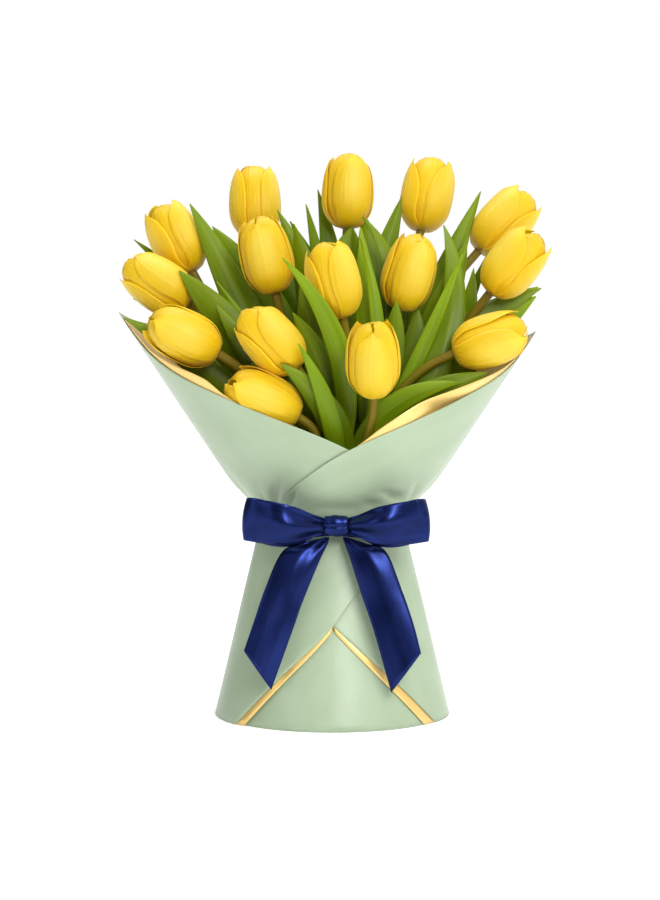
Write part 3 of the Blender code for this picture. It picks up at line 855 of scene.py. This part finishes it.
@dataclass
class PaperWrap:
    """The two-tone paper: upper wrap, skirt and the plain inner skirt behind its upturned V."""

    cone: Cone = Cone()
    ply: float = 0.0012
    thickness: float = 0.00045
    split: float = 0.163
    split_gap: float = 0.002
    hem_lift: float = 0.0003
    inner_top: float = 0.120
    inner_plies: float = 4.2
    rim: Outline = Outline(
        ((50, 178), (30, 202), (8, 226), (-39, 267), (-75, 303), (-90, 337), (-110, 327), (-145, 318),
         (-180, 322), (-215, 316), (-250, 314), (-270, 321), (-280, 297), (-310, 267), (-328, 250),
         (-354, 226), (-380, 197), (-400, 178)), corners=(-90, -270))
    rim_trim: Outline = Outline(
        ((50, -2), (-35, -1), (-39, 1), (-43, 4), (-46, 9), (-52, 10), (-62, 8.5), (-76, 5.5), (-84, 3),
         (-90, -3), (-270, -3), (-273, 2), (-282, 4), (-293, 7), (-306, 10.5), (-316, 13), (-326, 14.5),
         (-333, 12), (-340, 7.5), (-348, 1), (-354, -1), (-400, -2)))
    hem: Outline = Outline(
        ((-40, 128), (-20, 106), (0, 83), (30, 44), (60, 0), (306, 0), (333, 44), (360, 83), (377, 112),
         (400, 146)), corners=(60, 306))
    hem_trim: Outline = Outline(
        ((-40, 4), (-2, 4), (0.5, -4), (30, -9), (60, -14), (66, -14), (300, -10), (306, -10), (333, -7),
         (359, -3.5), (361, 3), (400, 4)), corners=(-2, 0.5, 60, 306, 359, 361))
    dents: tuple[Dent, ...] = (
        Dent(-40, 187, 3.6, 11, 7.6, 9, True), Dent(-27, 185, 3, 8, 5.2, 6, True),
        Dent(-53, 186, 5, 9, 3.4, 5, True),
        Dent(42, 187, 7, 4.6, 6.6, -10), Dent(57, 189, 5, 9, 3.0, -6, True), Dent(10, 178, 22, 5, 2.6),
        Dent(26, 181, 7, 5, 2.2, -5), Dent(78, 194, 7, 12, 2.4), Dent(-74, 195, 7, 13, 2.6),
        Dent(105, 190, 9, 11, 3.6, 5), Dent(140, 192, 10, 13, 3.8, -5), Dent(172, 189, 8, 10, 3.4, 4),
        Dent(203, 193, 10, 14, 4.0, 5), Dent(240, 190, 9, 11, 3.6, -4),
    )
    lining_dent: Dent = Dent(42, 262, 12, 9, 4.5)

    def gather(self, angle: float, height: float) -> float:
        """How far the tie pulls the upper wrap in."""
        return sum(dent.at(angle, height) for dent in self.dents)

    def skirt_fold(self, angle: float, height: float) -> float:
        """How far the skirt's soft folds pull it in, most just under the tie."""
        near = math.exp(-((self.split - height) / 0.045) ** 2)
        turn = math.radians(angle)
        return near * MM * (0.8 + 0.7 * math.sin(5 * turn + 0.6) + 0.4 * math.sin(9 * turn + 2.0))

    def rolled(self, name: str, upper: bool, ends: tuple[float, float], low: Callable[[float], float],
               high: Callable[[float], float], under: float) -> Piece:
        """Roll a sheet once round the bunch and over itself.

        Args:
            name: The piece's name.
            upper: Whether it belongs to the upper wrap rather than the skirt.
            ends: Its first and last angle; it runs from the ply below to the ply on top.
            low: Gives its lower edge for an angle.
            high: Gives its upper edge for an angle.
            under: How many plies it lies below the outermost one.

        Returns:
            The sheet, not yet dressed.
        """
        first, last = ends
        rows = 44 if upper else 30

        def place(u: float, v: float) -> Vector:
            """Place one point of the sheet."""
            angle = first + (last - first) * u
            inset = self.ply * (under + 2.0 * abs(last - angle) / 360.0)
            height = mix(low(angle), high(angle), v)
            if upper:
                inset += self.gather(angle, height) + under * self.lining_dent.at(angle, height)
                section = self.cone.upper(height)
            else:
                inset += self.skirt_fold(angle, height)
                section = self.cone.skirt(height)
            return self.cone.point(section, angle, height, inset)

        piece = Piece(name)
        piece.grid(round(abs(last - first) / 1.6), rows, place, (0.62, 0.16), under)
        return piece.thicken(self.thickness)

    def build(self, finishes: dict[str, bpy.types.Material]) -> None:
        """Make every sheet."""
        mint, gold = finishes["mint"], finishes["gold"]

        def rim(angle: float) -> float:
            """Height of the upper sheet's edge."""
            return self.rim.at(angle) * MM

        def lining_rim(angle: float) -> float:
            """Height of the upper lining's edge."""
            return rim(angle) + self.rim_trim.at(angle) * MM

        def waist(angle: float) -> float:
            """Height at which the upper sheets start."""
            return self.split

        def skirt_top(angle: float) -> float:
            """Height at which the skirt ends."""
            return self.split - self.split_gap

        def hem(angle: float) -> float:
            """Height of the skirt's lower edge."""
            return max(self.hem_lift, self.hem.at(angle) * MM)

        def lining_hem(angle: float) -> float:
            """Height of the skirt lining's lower edge."""
            return max(self.hem_lift, hem(angle) + self.hem_trim.at(angle) * MM)

        self.rolled("wrap_mint_sheet", True, (50, -400), waist, rim, 0).dress(mint, Slot.MINT, "upper_wrap")
        self.rolled("wrap_gold_sheet", True, (50, -400), waist, lining_rim, 1).dress(
            gold, Slot.GOLD, "upper_lining")
        self.rolled("skirt_mint_sheet", False, (-40, 400), hem, skirt_top, 0).dress(
            mint, Slot.MINT, "skirt_outer")
        self.rolled("skirt_gold_sheet", False, (-40, 400), lining_hem, skirt_top, 1).dress(
            gold, Slot.GOLD, "skirt_lining")
        inset = self.inner_plies * self.ply

        def inner(u: float, v: float) -> Vector:
            """Place one point of the inner skirt."""
            height = self.inner_top * v
            return self.cone.point(self.cone.skirt(height), 360 * u, height, inset)

        piece = Piece("skirt_inner_sheet")
        piece.grid(144, 24, inner, (0.6, 0.12), 5.0, ring=True)
        piece.thicken(self.thickness, -1.0).dress(mint, Slot.MINT, "skirt_inner")


# ---- ribbon ---------------------------------------------------------------------------------
@dataclass
class Bow:
    """The satin ribbon: a band round the waist, a knot, two loops and two tails."""

    cone: Cone = Cone()
    thickness: float = 0.0006
    width: float = 0.038
    band: tuple[float, float] = (0.147, 0.1765)
    band_pinch: float = 0.008
    band_clearance: float = 0.0016
    knot: Vector = field(default_factory=lambda: Vector((0.0025, -0.0640, 0.1645)))
    knot_size: tuple[float, float, float] = (0.019, 0.013, 0.017)
    loop_half: Outline = Outline(((0, 6.6), (8, 9.0), (22, 14.6), (38, 17.3), (54, 17.8), (66, 17.0)))
    loop_out: Outline = Outline(((0, 2.6), (10, 6.5), (20, 11.5), (30, 14.2), (40, 13.4), (50, 9.8),
                                 (57, 6.2)))
    loop_reach: float = 66.0
    loop_end: float = 7.0
    loop_turn: float = 0.76
    loop_back: Outline = Outline(((0, 2.0), (20, 4.5), (40, 5.5), (57, 5.5)))
    loop_drop: float = 3.8
    loop_shear: float = 1.4
    loop_bow: float = 2.2
    loop_middle_y: float = -66.8
    tail_top_y: float = -0.0630
    tail_hang: Outline = Outline(((0.0, 0.0), (0.14, 1.5), (0.32, 5.5), (0.5, 12.0), (0.72, 18.5),
                                  (1.0, 26.5)))
    tails: dict[str, tuple[tuple[tuple[float, float], tuple[float, float]], ...]] = field(
        default_factory=lambda: {
            "left": (((-6, 155), (-3, 155)), ((-27, 150), (-5, 149)), ((-42, 143), (-11, 137)),
                     ((-55, 115), (-24, 106)), ((-64, 89), (-33, 81)), ((-72, 66), (-50, 34))),
            "right": (((11, 155), (8, 155)), ((27, 150), (10, 149)), ((43, 144), (14, 138)),
                      ((56, 113), (24, 107)), ((65, 87), (33, 81)), ((71, 64), (47, 32))),
        })

    def band_place(self, u: float, v: float) -> Vector:
        """Point on the band, u round it and v up it."""
        angle = 360 * u
        away = min(1.0, abs((angle + 180) % 360 - 180) / 45)
        pinch = self.band_pinch * (1.0 - away) ** 0.5
        low, high = self.band
        height = mix(low + pinch, high - pinch, v)
        upper, skirt = self.cone.upper(height), self.cone.skirt(height)
        section = tuple(max(a, b) + self.band_clearance for a, b in zip(upper, skirt))
        turn = math.radians(angle)
        crease = 0.25 * MM * math.sin(math.pi * v) * (1 + math.sin(6 * turn) + 0.6 * math.sin(11 * turn + 1))
        return self.cone.point(section, angle, height, -crease)

    def loop_place(self, side: int, lean: float) -> Place:
        """Shape one loop.

        Args:
            side: -1 for the left one, 1 for the right one.
            lean: How far its end rises above the knot, in mm.

        Returns:
            A function that gives a point for u up the ribbon and v along it, from the knot out
            along the front and back behind.
        """
        start = self.knot.x / MM + side * (self.knot_size[0] / MM / 2 + 0.5)
        end = self.loop_reach - self.loop_end

        def place(u: float, v: float) -> Vector:
            """Place one point of the loop."""
            up = 2 * u - 1
            front = v < 0.5
            way = 2 * v if front else 2 - 2 * v
            profile = self.loop_out if front else self.loop_back
            if way < self.loop_turn:
                away = end * way / self.loop_turn
                out = profile.at(away)
            else:
                turn = math.pi / 2 * (way - self.loop_turn) / (1 - self.loop_turn)
                away = end + self.loop_end * math.sin(turn)
                out = profile.at(end) * math.cos(turn)
            rise = self.loop_half.at(away) * up + lean * away / self.loop_reach
            fade = math.exp(-(away / 28) ** 2)
            flat = 1 - smooth((away - end) / self.loop_end)
            if front:
                fold = 3.4 * math.cos(4.2 * (up - 0.15 * side)) * fade
                fold += 0.5 * math.cos(11 * up + side) * math.exp(-(away / 14) ** 2)
                belly = 4.6 * (1 - up * up) * math.sin(math.pi * min(1.0, away / 62)) * flat
                tilt = -2.4 * up * smooth(away / 30) * flat
                y = self.loop_middle_y - out - belly - fold + tilt
            else:
                y = self.loop_middle_y + out - 0.8 * math.cos(4 * up) * fade
                rise -= self.loop_drop * smooth(away / 25) * smooth((self.loop_reach - away) / 34)
            reach = away - (self.loop_shear * up + self.loop_bow * up * up) * (away / self.loop_reach) ** 2
            aside = start + side * reach
            return Vector((aside, y, self.knot.z / MM + rise)) * MM

        return place

    def tail_place(self, name: str) -> Place:
        """Shape one tail.

        Args:
            name: left or right.

        Returns:
            A function that gives a point for u across the ribbon and v from the knot to the cut.
        """
        edges = self.tails[name]
        last = len(edges) - 1
        lines = [[Outline(tuple((i, pair[k][axis]) for i, pair in enumerate(edges))) for axis in (0, 1)]
                 for k in (0, 1)]

        def place(u: float, v: float) -> Vector:
            """Place one point of the tail."""
            at = v * last
            (ox, oz), (ix, iz) = ([line.at(at) for line in pair] for pair in lines)
            x, z = mix(ox, ix, u) * MM, mix(oz, iz, u) * MM
            across = 2 * u - 1
            y = self.tail_top_y - self.tail_hang.at(v) * MM
            gathered = math.exp(-(v / 0.3) ** 2)
            bulge = 4.2 * (1 - across * across) * smooth(v * 3) * mix(1.0, 0.45, smooth(v * 1.5 - 0.3))
            fold = 1.6 * math.cos(7.5 * across + 0.5) * gathered * smooth(v * 12)
            roll = 1.5 * math.sin(5.0 * v + (0.5 if name == "left" else 1.4)) * across * smooth(v * 4)
            return Vector((x, y - (bulge + fold + roll) * MM, z))

        return place

    def knot_place(self, u: float, v: float) -> Vector:
        """Point on the ribbon wound over the knot, u along the knot and v round it."""
        wide, deep, tall = (s / 2 for s in self.knot_size)
        across = 2 * u - 1
        turn = math.tau * v
        plump = 1.0 - 0.14 * across * across + 0.022 * math.cos(7.5 * across + 0.9 * math.sin(turn))
        c, s = math.cos(turn), math.sin(turn)
        y = -deep * plump * math.copysign(abs(c) ** 0.8, c)
        z = tall * plump * math.copysign(abs(s) ** 0.8, s)
        return self.knot + Vector((wide * across, y, z))

    def build(self, satin: bpy.types.Material) -> None:
        """Make every length of ribbon."""
        band = Piece("satin_band")
        band.grid(144, 12, self.band_place, (0.36, 0.033), 1.0, ring=True)
        band.thicken(self.thickness).dress(satin, Slot.SATIN, "ribbon_band")
        for name, side, lean in (("left", -1, 6.0), ("right", 1, 5.0)):
            loop = Piece(f"satin_loop_{name}")
            loop.grid(18, 56, self.loop_place(side, lean), (self.width, 0.15), 2.0 + side)
            loop.thicken(self.thickness).dress(satin, Slot.SATIN, f"bow_loop_{name}")
            tail = Piece(f"satin_tail_{name}")
            tail.grid(16, 48, self.tail_place(name), (self.width, 0.13), 5.0 + side)
            tail.thicken(self.thickness).dress(satin, Slot.SATIN, f"bow_tail_{name}")
        knot = Piece("satin_knot")
        knot.grid(20, 40, self.knot_place, (0.019, 0.05), 7.0)
        knot.thicken(self.thickness).dress(satin, Slot.SATIN, "ribbon_knot")


@dataclass
class TwineTie:
    """One turn of two-ply twine round the stems, hidden under the paper."""

    strand: float = 0.00055
    turns: int = 60
    lay: float = 0.8
    steps: int = 480
    sides: int = 6

    def build(self, finish: bpy.types.Material) -> None:
        """Make the twine.

        Args:
            finish: Its finish.
        """
        low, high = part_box("twine_tie")
        radius = (high.x - low.x) / 2 - (high.z - low.z) / 2
        middle = (low + high) / 2
        for ply in range(2):
            steps, sides = self.steps, self.sides
            points, faces = [], []
            for i in range(steps):
                turn = math.tau * i / steps
                out = Vector((math.cos(turn), math.sin(turn), 0))
                twist = self.turns * turn + math.pi * ply
                here = middle + out * (radius + self.strand * self.lay * math.cos(twist))
                here.z += self.strand * self.lay * math.sin(twist)
                for k in range(sides):
                    a = math.tau * k / sides
                    points.append(here + out * self.strand * math.cos(a)
                                  + Vector((0, 0, self.strand * math.sin(a))))
            for i in range(steps):
                for k in range(sides):
                    n, j = (k + 1) % sides, (i + 1) % steps
                    faces.append((i * sides + k, j * sides + k, j * sides + n, i * sides + n))
            piece = Piece(f"twine_strand_{ply + 1}")
            piece.fill(points, faces)
            piece.dress(finish, Slot.TWINE, "twine_tie")


# ---- studio ---------------------------------------------------------------------------------
@dataclass
class Studio:
    """Floor, soft lights and camera."""

    eye: Vector = field(default_factory=lambda: Vector((-0.0025, -2.2, 0.39)))
    pitch: float = 4.38
    lens: float = 105.6
    sensor: float = 36.0
    wall_light: tuple[float, float] = (0.11, 1.1)
    bright_side: Colour = (0.55, 0.1, 0.8)
    floor_side: float = 12.0
    floor_glow: float = 0.3
    wall_reach: tuple[float, float] = (-0.3, 1.0)
    aim: Vector = field(default_factory=lambda: Vector((0, 0, 0.25)))

    def camera(self) -> None:
        """Set up the camera, level from side to side and looking slightly down."""
        data = bpy.data.cameras.new("camera")
        data.lens = self.lens
        data.sensor_width = self.sensor
        data.sensor_fit = "AUTO"
        obj = bpy.data.objects.new("camera", data)
        obj.location = self.eye
        obj.rotation_euler = (math.radians(90 - self.pitch), 0, 0)
        bpy.context.scene.collection.objects.link(obj)
        bpy.context.scene.camera = obj

    def lamp(self, name: str, place: Vector, size: float, power: float, colour: Colour) -> None:
        """Hang one soft square lamp that points at the middle of the bunch.

        Args:
            name: Its name.
            place: Where it hangs.
            size: Its side.
            power: Its power in watts.
            colour: The colour of its light.
        """
        data = bpy.data.lights.new(name, "AREA")
        data.size = size
        data.energy = power
        data.color = colour
        obj = bpy.data.objects.new(name, data)
        obj.location = place
        obj.rotation_euler = (self.aim - place).to_track_quat("-Z", "Y").to_euler()
        bpy.context.scene.collection.objects.link(obj)

    def world(self) -> None:
        """Set up the white backdrop, and the dimmer even light that the studio's walls throw back."""
        world = bpy.data.worlds.new("studio")
        world.use_nodes = True
        tree = world.node_tree
        walls = tree.nodes["Background"]
        walls.inputs["Color"].default_value = (1, 1, 1, 1)
        way = tree.nodes.new("ShaderNodeTexCoord").outputs["Generated"]
        toward = tree.nodes.new("ShaderNodeVectorMath")
        toward.operation = "DOT_PRODUCT"
        tree.links.new(way, toward.inputs[0])
        toward.inputs[1].default_value = Vector(self.bright_side).normalized()
        grade = tree.nodes.new("ShaderNodeMapRange")
        grade.interpolation_type = "SMOOTHSTEP"
        for socket, value in zip(grade.inputs[1:5], (*self.wall_reach, *self.wall_light)):
            socket.default_value = value
        tree.links.new(toward.outputs["Value"], grade.inputs[0])
        tree.links.new(grade.outputs[0], walls.inputs["Strength"])
        backdrop = tree.nodes.new("ShaderNodeBackground")
        backdrop.inputs["Color"].default_value = (1, 1, 1, 1)
        seen = tree.nodes.new("ShaderNodeLightPath").outputs["Is Camera Ray"]
        chosen = tree.nodes.new("ShaderNodeMixShader")
        tree.links.new(seen, chosen.inputs[0])
        tree.links.new(walls.outputs[0], chosen.inputs[1])
        tree.links.new(backdrop.outputs[0], chosen.inputs[2])
        tree.links.new(chosen.outputs[0], tree.nodes["World Output"].inputs["Surface"])
        bpy.context.scene.world = world

    def build(self, floor_finish: bpy.types.Material) -> None:
        """Make the whole studio."""
        self.camera()
        self.lamp("key", Vector((1.0, -1.9, 1.8)), 0.9, 25.0, (1.0, 0.98, 0.94))
        self.lamp("strip", Vector((0.45, -2.0, 1.1)), 0.5, 14.0, (1.0, 0.99, 0.97))
        self.lamp("fill", Vector((-1.8, -1.3, 0.9)), 1.0, 6.0, (0.96, 0.98, 1.0))
        self.lamp("top", Vector((-0.1, 0.3, 2.0)), 1.0, 18.0, (1.0, 1.0, 1.0))
        self.world()
        bpy.context.scene.view_settings.view_transform = "Standard"
        floor = Piece("floor")
        side = self.floor_side
        corners = ((-side, -side), (side, -side), (side, side), (-side, side))
        floor.fill([Vector((x, y, 0.0)) for x, y in corners], [(0, 1, 2, 3)])
        floor.mesh.materials.append(floor_finish)
        shader = floor_finish.node_tree.nodes["Principled BSDF"]
        shader.inputs["Emission Color"].default_value = (1, 1, 1, 1)
        shader.inputs["Emission Strength"].default_value = self.floor_glow


# ---- the bunch ------------------------------------------------------------------------------
HABITS: dict[str, Habit] = {
    "01": Habit(60, 0.22, 0.35, 0.80),
    "02": Habit(12, 0.16, 0.30, 0.90),
    "03": Habit(50, 0.62, 0.90, 0.90),
    "04": Habit(-50, 0.45, 0.70, 0.97),
    "05": Habit(-45, 0.45, 0.60, 0.97),
    "06": Habit(-62, 0.30, 0.45, 0.97),
    "07": Habit(38, 0.20, 0.30, 0.97),
    "08": Habit(4, 0.25, 0.25, 0.80),
    "09": Habit(-6, 0.10, 0.15, 0.86),
    "10": Habit(42, 0.42, 0.35, 0.92),
    "11": Habit(14, 0.08, 0.15, 0.90),
    "12": Habit(42, 0.40, 0.30, 0.92),
    "13": Habit(2, 0.12, 0.15, 0.80),
    "14": Habit(22, 0.30, 0.45, 0.92),
    "15": Habit(6, 0.55, 0.35, 0.84),
}

# These rows were not chosen by hand or worked out from the frame. A search program made them.
LEAVES: tuple[Leaf, ...] = (
    Leaf((-19, 5, 198), (-59, 11, 320), (-121, 41, 427), 31, 13),
    Leaf((-31, 3, 185), (-63, 81, 315), (-170, 63, 397), 22, 14),
    Leaf((-23, 7, 196), (-63, 30, 312), (-169, 40, 347), 23, -4),
    Leaf((-22, -7, 189), (-79, -13, 284), (-173, -12, 332), 25, 0),
    Leaf((-6, 6, 195), (7, 32, 317), (-47, 43, 422), 27, -6),
    Leaf((-20, 20, 192), (7, 40, 313), (-23, 70, 427), 19, -7),
    Leaf((-7, 28, 221), (15, 71, 329), (-13, 83, 440), 24, 4),
    Leaf((-2, -21, 191), (36, -45, 302), (-41, -59, 382), 19, -9, Tone.FRESH),
    Leaf((31, -7, 191), (34, -33, 305), (23, 12, 407), 24, -3, Tone.FRESH),
    Leaf((15, -21, 186), (56, -37, 295), (22, -14, 400), 13, 0, Tone.FRESH),
    Leaf((0, 21, 200), (23, 49, 319), (60, 69, 435), 29, 8),
    Leaf((21, 8, 202), (74, 32, 321), (126, 61, 438), 25, -3),
    Leaf((33, -4, 216), (73, -2, 313), (115, 35, 399), 22, -15),
    Leaf((3, 8, 217), (72, 18, 310), (175, 23, 356), 30, 0, Tone.GREY),
    Leaf((17, -3, 194), (68, -21, 286), (107, -17, 385), 13, -1, Tone.FRESH),
    Leaf((0, -22, 183), (11, -70, 246), (-28, -70, 313), 16, -5, Tone.FRESH),
    Leaf((-6, -9, 186), (12, -14, 271), (-33, -39, 337), 30, -1),
    Leaf((10, -23, 196), (32, -59, 276), (105, -49, 280), 19, 2, Tone.FRESH),
)

INNER_BREADTH = 1.2
# A second search program made these rows too. Rows 2 and 17 were then changed, and rows 18 to 20
# were written one by one.
INNER_LEAVES: tuple[Leaf, ...] = (
    Leaf((-24, -18, 212), (-61, -20, 303), (-128, -2, 371), 32, -4),
    Leaf((-11, 10, 239), (-44, 29, 335), (-103, 66, 408), 30, 2),
    Leaf((26, 17, 190), (115, 60, 268), (118, 21, 373), 27, 23, Tone.FRESH),
    Leaf((0, 6, 233), (48, 2, 347), (25, 80, 421), 28, 12),
    Leaf((30, -2, 242), (71, -12, 286), (70, 12, 341), 23, -16, Tone.GREY),
    Leaf((-7, 4, 201), (-5, 2, 308), (-33, 11, 410), 28, -21),
    Leaf((12, 15, 245), (-18, 11, 339), (16, 53, 408), 25, 11),
    Leaf((-12, -5, 219), (-8, -10, 291), (-27, -16, 359), 25, 1),
    Leaf((31, -12, 195), (123, -47, 321), (94, 49, 409), 20, -4),
    Leaf((-23, -21, 244), (-62, -21, 292), (-96, -18, 343), 18, 3),
    Leaf((10, -3, 235), (51, -6, 285), (52, -20, 346), 23, -13),
    Leaf((-6, -19, 243), (-33, -39, 270), (-67, -31, 295), 20, -1),
    Leaf((10, -25, 193), (14, -64, 256), (-43, -63, 297), 20, -7),
    Leaf((12, -7, 236), (13, -17, 276), (17, 0, 314), 23, 13),
    Leaf((8, 20, 237), (93, 16, 339), (25, 35, 416), 18, 28),
    Leaf((13, 19, 201), (94, 77, 284), (132, 43, 387), 16, -20),
    Leaf((9, -20, 211), (56, -52, 268), (127, -40, 288), 25, -14),
    Leaf((20, 8, 215), (82, 22, 302), (173, 30, 357), 37, 0, Tone.FRESH),
    Leaf((24, 12, 228), (90, 34, 318), (113, 44, 396), 27, 8),
    Leaf((22, 2, 212), (86, 16, 296), (171, 27, 349), 37, 0, Tone.FRESH),
    Leaf((-18, -4, 196), (-42, 5, 287), (-97, 5, 362), 10, -5, Tone.FRESH),
    Leaf((-1, 28, 197), (57, 71, 321), (4, 120, 428), 19, -8),
    Leaf((-4, 26, 211), (19, 84, 315), (-37, 95, 413), 20, -21),
    Leaf((-11, 24, 236), (-11, 28, 351), (-74, 108, 398), 20, -3),
    Leaf((0, 27, 190), (31, 85, 288), (86, 83, 388), 21, -27),
)


def finishes() -> dict[str, bpy.types.Material]:
    """Every finish of the bunch and the floor, by name."""
    recipes = {
        "outer_petal": PetalFinish("yellow_outer_petal", (0.82, 0.475, 0.001), (0.89, 0.60, 0.05),
                                   (0.68, 0.37, 0.001), 0.9),
        "inner_petal": PetalFinish("yellow_inner_petal", (0.83, 0.455, 0.001), (0.87, 0.53, 0.004),
                                   (0.68, 0.36, 0.001), 0.5),
        "deep_leaf": LeafFinish("deep_green_leaf", (0.075, 0.125, 0.001), (0.21, 0.30, 0.002),
                                (0.17, 0.23, 0.006)),
        "fresh_leaf": LeafFinish("fresh_green_leaf", (0.105, 0.185, 0.001), (0.26, 0.38, 0.004),
                                 (0.19, 0.27, 0.015)),
        "grey_leaf": LeafFinish("grey_green_leaf", (0.09, 0.145, 0.006), (0.21, 0.30, 0.025),
                                (0.17, 0.23, 0.02)),
        "stem": StemFinish("olive_stem", (0.17, 0.135, 0.002), (0.095, 0.10, 0.002), (0.13, 0.075, 0.001)),
        "mint": PaperFinish("mint_paper_sheet", (0.308, 0.396, 0.262), (0.342, 0.436, 0.30), 0.0, 0.36, 0.08),
        "gold": PaperFinish("gold_paper_sheet", (0.74, 0.50, 0.15), (0.82, 0.59, 0.22), 0.5, 0.33, 0.1),
        "satin": SatinFinish("navy_satin_ribbon", (0.005, 0.011, 0.066), (0.014, 0.031, 0.18)),
        "twine": PlainFinish("hemp_twine", (0.36, 0.25, 0.12), (0.52, 0.39, 0.22), 0.9, 1500.0),
        "cut_end": PlainFinish("cut_stem_end", (0.50, 0.52, 0.22), (0.62, 0.62, 0.34), 0.5, 1800.0),
        "floor": PlainFinish("pale_floor", (0.90, 0.90, 0.90), (0.92, 0.92, 0.92), 0.75, 40.0),
    }
    return {name: recipe.make() for name, recipe in recipes.items()}


def main(frame: dict) -> None:
    """Build the looks of the bunch round the fixed frame.
    """
    logging.basicConfig(level=logging.INFO, format="%(message)s")
    made = finishes()
    Studio().build(made["floor"])
    for number, habit in HABITS.items():
        tulip = Tulip(number, habit)
        tulip.read_frame(frame["nodes"])
        tulip.build(made)
    for index, leaf in enumerate(LEAVES, start=1):
        leaf.build(f"leaf_blade_{index:02d}", made, f"leaf_{index:02d}")
    for index, leaf in enumerate(INNER_LEAVES, start=len(LEAVES) + 1):
        replace(leaf, width=leaf.width * INNER_BREADTH).build(f"leaf_blade_{index:02d}", made, None)
    PaperWrap().build(made)
    Bow().build(made["satin"])
    TwineTie().build(made["twine"])


if __name__ == "__main__":
    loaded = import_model()
    main(loaded)
